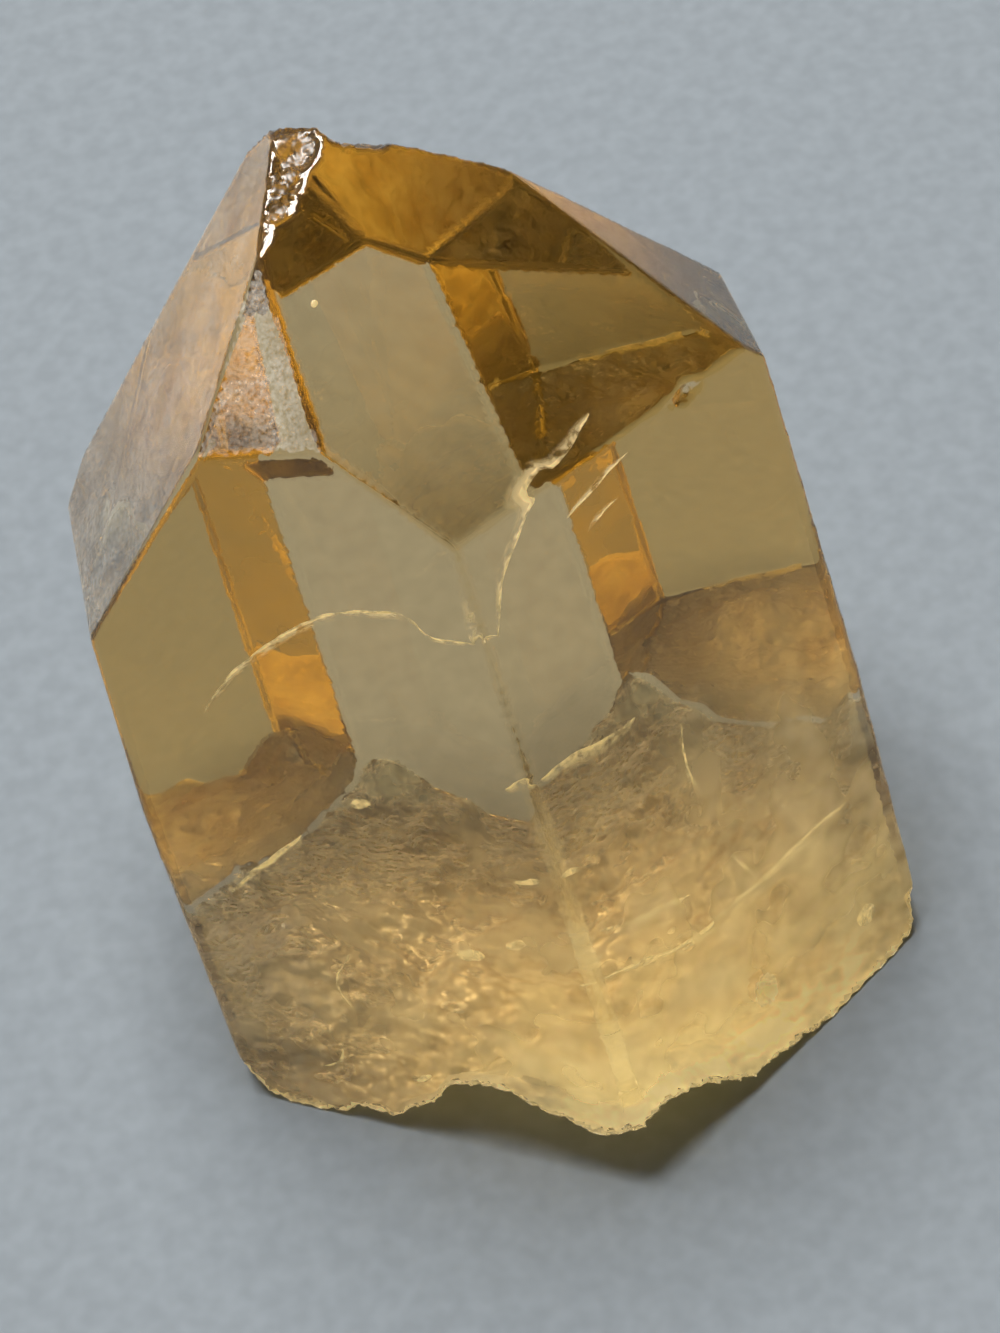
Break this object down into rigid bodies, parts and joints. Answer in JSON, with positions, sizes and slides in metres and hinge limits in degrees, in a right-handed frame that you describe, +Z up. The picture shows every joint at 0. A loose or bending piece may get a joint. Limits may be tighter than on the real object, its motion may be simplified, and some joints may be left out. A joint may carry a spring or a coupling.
{
  "type": "raw citrine crystal",
  "caption": "Stout raw citrine point standing on its broken base and leaning back, with flat crystal faces and a chipped tip.",
  "frame": {"origin": "centre of the bounding box's base, on the surface the crystal stands on", "axes": "-Y towards the front edge of the crystal, +Y the way its point leans, +Z up from the flat spots of the broken base that it stands on"},
  "size_m": [0.035, 0.04, 0.0422],
  "materials": {
    "citrine": "clear with a faint natural frost"
  },
  "bodies": {
    "root": {"citrine_crystal": "citrine"}
  },
  "joints": []
}
